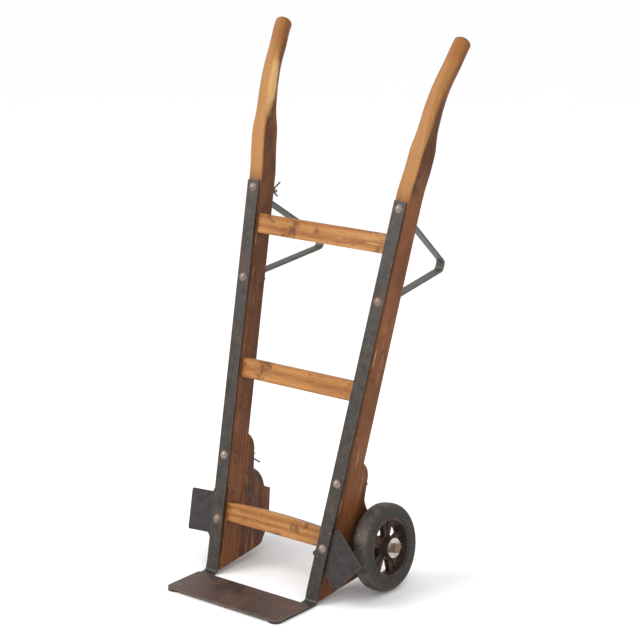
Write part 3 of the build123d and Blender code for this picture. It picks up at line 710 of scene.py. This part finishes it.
def rubber_material(settings):
    """Solid rubber with a dusty, scuffed tread."""
    material, tree, shader, coordinates = start_material("Tyre_Rubber")
    vector = coordinates["Object"]
    tread = add_node(tree, "ShaderNodeAttribute", (-9, 6), attribute_name="tread")
    mottle = noise(tree, vector, 60.0, 6.0, (-8, 0))
    shade = ramp(tree, mottle, (-7, 0), ((0.3, 0.0), (0.75, 1.0)))
    dark = tuple(channel * 0.7 for channel in settings.rubber)
    light = tuple(channel * 1.5 for channel in settings.rubber)
    colour = mixed(tree, shade, dark, light, (-5, 0))
    dusty = use_group(
        tree, make_blotches(), (-8, 3), {"Scale": 22.0, "Cover": 0.55, "Softness": 0.16}, vector=vector
    )
    on_tread = maths(tree, "MULTIPLY", tread.outputs["Fac"], 0.55, (-6, 6))
    on_sides = maths(tree, "MULTIPLY", dusty["Mask"], 0.09, (-5, 4))
    dust_share = maths(tree, "MULTIPLY", dusty["Mask"], on_tread, (-5, 3))
    dust_share = maths(tree, "ADD", dust_share, on_sides, (-4, 3))
    colour = mixed(tree, dust_share, colour, settings.dust, (-2, 0))
    specks = noise(tree, vector, 210.0, 2.0, (-8, 8))
    speck = ramp(tree, specks, (-7, 8), ((0.69, 0.0), (0.72, 1.0)))
    specked_tread = maths(tree, "MULTIPLY", tread.outputs["Fac"], 0.75, (-6, 8))
    speck = maths(tree, "MULTIPLY", speck, specked_tread, (-5, 8))
    colour = mixed(tree, speck, colour, (0.42, 0.31, 0.17), (0, 0))
    link(tree, colour, shader.inputs["Base Color"])
    rough = maths(tree, "ADD", maths(tree, "MULTIPLY", dusty["Mask"], 0.2, (3, 2)), 0.6, (4, 2))
    link(tree, rough, shader.inputs["Roughness"])
    shader.inputs["Specular IOR Level"].default_value = 0.35
    fine = noise(tree, vector, 380.0, 5.0, (-8, 10), roughness=0.65)
    depth = maths(tree, "ADD", tread.outputs["Fac"], 0.4, (-6, 10))
    rough_tread = maths(tree, "MULTIPLY", fine, depth, (-5, 10))
    bump(tree, rough_tread, 0.5, 0.0009, shader)
    return material


def casting_material(settings, iron):
    """Rough dark casting with rusty dust in its corners."""
    material, tree, shader, coordinates = start_material("Wheel_Casting")
    vector = coordinates["Object"]
    mottle = noise(tree, vector, 90.0, 7.0, (-8, 0), roughness=0.65)
    shade = ramp(tree, mottle, (-7, 0), ((0.32, 0.0), (0.72, 1.0)))
    light = tuple(channel * 1.9 for channel in settings.casting)
    colour = mixed(tree, shade, settings.casting, light, (-5, 0))
    rust = use_group(
        tree, make_blotches(), (-8, 3), {"Scale": 30.0, "Cover": 0.46, "Softness": 0.12}, vector=vector
    )
    colour = mixed(tree, maths(tree, "MULTIPLY", rust["Mask"], 0.42, (-6, 3)), colour, iron.rust, (-3, 0))
    edges = use_group(tree, make_edge_wear(), (-8, 5), {"Width": 0.0015, "Break Up": 0.6}, vector=vector)
    colour = mixed(tree, maths(tree, "MULTIPLY", edges["Mask"], 0.25, (-6, 5)), colour, iron.rubbed, (-1, 0))
    link(tree, colour, shader.inputs["Base Color"])
    rough = maths(tree, "ADD", maths(tree, "MULTIPLY", mottle, 0.3, (3, 2)), 0.5, (4, 2))
    link(tree, rough, shader.inputs["Roughness"])
    shader.inputs["Metallic"].default_value = 0.3
    grit = noise(tree, vector, 520.0, 4.0, (-8, 8), roughness=0.6)
    bump(tree, grit, 0.5, 0.0007, shader)
    return material


class TRUCK_OT_make_tyres(bpy.types.Operator):
    """Make the solid rubber tyres with their beads, side walls and worn treads"""

    bl_idname = "truck.make_tyres"
    bl_label = "Make Tyres"

    def execute(self, context):
        settings = context.scene.truck_wheel
        outer, inner, half = settings.tread_radius, settings.inner_radius, settings.tyre_width / 2
        # half of the section, from the rim out to the middle of the tread
        shoulder = [
            (inner, half - 0.0016),
            (inner + 0.0014, half - 0.0002),
            (inner + 0.0042, half),
            (inner + 0.0058, half - 0.0010),
            (inner + 0.0082, half - 0.0012),
            (outer - 0.0105, half - 0.0004),
            (outer - 0.0068, half - 0.0013),
            (outer - 0.0037, half - 0.0036),
            (outer - 0.0016, half - 0.0068),
            (outer - 0.0005, half - 0.0108),
            (outer, half - 0.0160),
        ]
        outline = shoulder + [(radius, -height) for radius, height in reversed(shoulder)]
        rubber = rubber_material(settings)
        for side in WHEEL_SIDES:
            tyre = lathe(f"Solid_Tyre_{side}", outline, 160)
            tread = tyre.data.attributes.new("tread", "FLOAT", "POINT")
            for number, vertex in enumerate(tyre.data.vertices):
                radius = math.hypot(vertex.co.x, vertex.co.y)
                tread.data[number].value = min(1, max(0, (radius - outer + 0.011) / 0.009))
            settle(tyre, wheel_placement(side))
            deselect()
            bpy.context.view_layer.objects.active = tyre
            tyre.select_set(True)
            bpy.ops.object.shade_smooth_by_angle(angle=math.radians(50))
            tyre.data.materials.append(rubber)
            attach(tyre, f"wheel_{side}")
            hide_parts(f"tyre_{side}")
        return {"FINISHED"}


def one_rib(name, rib_height):
    """The rib along the spoke on X: low at the rim, tall at the hub, narrower along its top."""
    rim_top = WEB_FACE + rib_height * RIB_RIM_SHARE
    hub_top = WEB_FACE + rib_height * RIB_HUB_SHARE
    middle = ((RIB_HUB_END + RIB_RIM_END) / 2, 0, (RIB_ROOT + rim_top) / 2)
    deselect()
    bpy.ops.mesh.primitive_cube_add(
        size=1, location=middle, scale=(RIB_RIM_END - RIB_HUB_END, RIB_FOOT_WIDTH, rim_top - RIB_ROOT)
    )
    rib = active_mesh(name)
    bpy.ops.object.transform_apply(location=True, rotation=True, scale=True)
    select_points(rib, lambda point: point.z > middle[2])
    bpy.ops.transform.resize(
        value=(1, RIB_TOP_WIDTH / RIB_FOOT_WIDTH, 1), center_override=(middle[0], 0, rim_top)
    )
    select_points(rib, lambda point: point.z > middle[2] and point.x < middle[0])
    bpy.ops.transform.translate(value=(0, 0, hub_top - rim_top))
    bpy.ops.object.mode_set(mode="OBJECT")
    add_modifier(rib, "BEVEL", width=0.0009, segments=3, limit_method="ANGLE")
    apply_modifiers(rib)
    return rib


def select_points(piece, wanted):
    """Edit a piece with only the wanted points selected."""
    deselect()
    bpy.context.view_layer.objects.active = piece
    piece.select_set(True)
    bpy.ops.object.mode_set(mode="EDIT")
    bpy.ops.mesh.select_mode(type="VERT")
    bpy.ops.mesh.select_all(action="DESELECT")
    bpy.ops.object.mode_set(mode="OBJECT")
    for vertex in piece.data.vertices:
        vertex.select = wanted(vertex.co)
    bpy.ops.object.mode_set(mode="EDIT")


def spoke_ribs(name, phase, rib_height):
    """Raised ribs along the spokes, on both faces of the web, made flat on Z."""
    first = one_rib(name, rib_height)
    parts = []
    for turned_over in (0, math.pi):
        for number in range(SPOKE_COUNT):
            rib = first.copy()
            rib.data = first.data.copy()
            bpy.context.collection.objects.link(rib)
            turn = Matrix.Rotation(phase + math.tau * number / SPOKE_COUNT, 4, "Z")
            settle(rib, turn @ Matrix.Rotation(turned_over, 4, "X"))
            parts.append(rib)
    bpy.data.objects.remove(first)
    deselect()
    for part in parts:
        part.select_set(True)
    bpy.context.view_layer.objects.active = parts[0]
    bpy.ops.object.join()
    ribs = active_mesh(name)
    bpy.ops.object.shade_smooth_by_angle(angle=math.radians(40))
    return ribs


class TRUCK_OT_make_wheel_centres(bpy.types.Operator):
    """Finish the cast wheel centres and add the ribs along their spokes"""

    bl_idname = "truck.make_wheel_centres"
    bl_label = "Make Wheel Centres"

    def execute(self, context):
        settings = context.scene.truck_wheel
        casting = casting_material(settings, context.scene.truck_iron)
        put_on(["wheel_centre_left", "wheel_centre_right"], casting)
        # the spokes stand midway between the windows, and the left wheel mirrors the right
        right_phase = WINDOW_PHASE + math.pi / SPOKE_COUNT
        for side, phase in (("left", math.pi - right_phase), ("right", right_phase)):
            ribs = spoke_ribs(f"Spoke_Ribs_{side}", phase, settings.rib_height)
            settle(ribs, wheel_placement(side))
            ribs.data.materials.append(casting)
            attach(ribs, f"wheel_{side}")
        return {"FINISHED"}


# ---------------------------------------------------------------- stage
class TRUCK_OT_make_stage(bpy.types.Operator):
    """Lay the studio floor and set the lights and the camera"""

    bl_idname = "truck.make_stage"
    bl_label = "Make Stage"

    def execute(self, context):
        settings = context.scene.truck_stage
        scene = context.scene
        scene.view_settings.view_transform = "Standard"
        deselect()
        bpy.ops.mesh.primitive_plane_add(size=60, location=(0, 0, -0.0004))
        floor = active_mesh("Studio_Floor")
        material, tree, shader, coordinates = start_material("Studio_Floor")
        tint = noise(tree, coordinates["Object"], 0.8, 2.0, (-4, 0))
        greyer = tuple(channel * 0.985 for channel in settings.floor)
        pale = mixed(tree, tint, settings.floor, greyer, (0, 0))
        link(tree, pale, shader.inputs["Base Color"])
        shader.inputs["Roughness"].default_value = 0.9
        shader.inputs["Specular IOR Level"].default_value = 0.1
        floor.data.materials.append(material)

        world = bpy.data.worlds.new("Studio")
        scene.world = world
        world.use_nodes = True
        surround = world.node_tree.nodes["Background"]
        surround.inputs[0].default_value = (1, 1, 1, 1)
        surround.inputs[1].default_value = settings.sky

        aim = Vector((0, 0, 0.55))
        for name, place, size, power in (
            ("Key_Light", (-1.9, -2.6, 3.0), 2.2, settings.key_power),
            ("Fill_Light", (3.2, -1.6, 1.6), 2.4, settings.fill_power),
        ):
            lamp = bpy.data.lights.new(name, "AREA")
            lamp.shape = "DISK"
            lamp.size = size
            lamp.energy = power
            light = bpy.data.objects.new(name, lamp)
            scene.collection.objects.link(light)
            light.location = place
            light.rotation_euler = (aim - Vector(place)).to_track_quat("-Z", "Y").to_euler()

        level = math.cos(CAMERA_ELEVATION)
        toward = Vector(
            (
                math.sin(CAMERA_AZIMUTH) * level,
                -math.cos(CAMERA_AZIMUTH) * level,
                math.sin(CAMERA_ELEVATION),
            )
        )
        aside = (-toward).cross(Vector((0, 0, 1))).normalized()
        above = aside.cross(-toward)
        turned_aside = aside * math.cos(CAMERA_ROLL) + above * math.sin(CAMERA_ROLL)
        turned_above = above * math.cos(CAMERA_ROLL) - aside * math.sin(CAMERA_ROLL)
        aimed_at = Vector((0, HEEL_Y, AIM_HEIGHT))
        target = aimed_at + turned_aside * AIM_ASIDE - turned_above * AIM_BELOW
        lens = bpy.data.cameras.new("Camera")
        lens.lens = settings.lens
        lens.sensor_width = CAMERA_SENSOR
        camera = bpy.data.objects.new("Camera", lens)
        scene.collection.objects.link(camera)
        axes = Matrix((turned_aside, turned_above, toward)).transposed().to_4x4()
        camera.matrix_world = Matrix.Translation(target + toward * settings.distance) @ axes
        scene.camera = camera
        return {"FINISHED"}


class TRUCK_PT_panel(bpy.types.Panel):
    """Lists the truck's operators and settings"""

    bl_label = "Hand Truck"
    bl_idname = "TRUCK_PT_panel"
    bl_space_type = "VIEW_3D"
    bl_region_type = "UI"
    bl_category = "Hand Truck"

    def draw(self, context):
        for operator in OPERATORS:
            self.layout.operator(operator.bl_idname)
        for group in SETTINGS:
            values = getattr(context.scene, group)
            for name in values.__annotations__:
                self.layout.prop(values, name)


OPERATORS = (
    TRUCK_OT_make_stage,
    TRUCK_OT_finish_wood,
    TRUCK_OT_finish_iron,
    TRUCK_OT_finish_fastenings,
    TRUCK_OT_make_tyres,
    TRUCK_OT_make_wheel_centres,
)
SETTINGS = {
    "truck_wood": TruckWoodSettings,
    "truck_iron": TruckIronSettings,
    "truck_wheel": TruckWheelSettings,
    "truck_stage": TruckStageSettings,
}


def register():
    """Register the classes and hang the settings on the scene."""
    for cls in (*SETTINGS.values(), *OPERATORS, TRUCK_PT_panel):
        bpy.utils.register_class(cls)
    for name, cls in SETTINGS.items():
        setattr(bpy.types.Scene, name, bpy.props.PointerProperty(type=cls))


def unregister():
    """Take the settings and classes away again."""
    for name in SETTINGS:
        delattr(bpy.types.Scene, name)
    for cls in reversed((*SETTINGS.values(), *OPERATORS, TRUCK_PT_panel)):
        bpy.utils.unregister_class(cls)


def main():
    """Make the whole truck."""
    register()
    bpy.ops.truck.make_stage()
    bpy.ops.truck.finish_wood()
    bpy.ops.truck.finish_iron()
    bpy.ops.truck.finish_fastenings()
    bpy.ops.truck.make_tyres()
    bpy.ops.truck.make_wheel_centres()


if __name__ == "__main__":
    main()
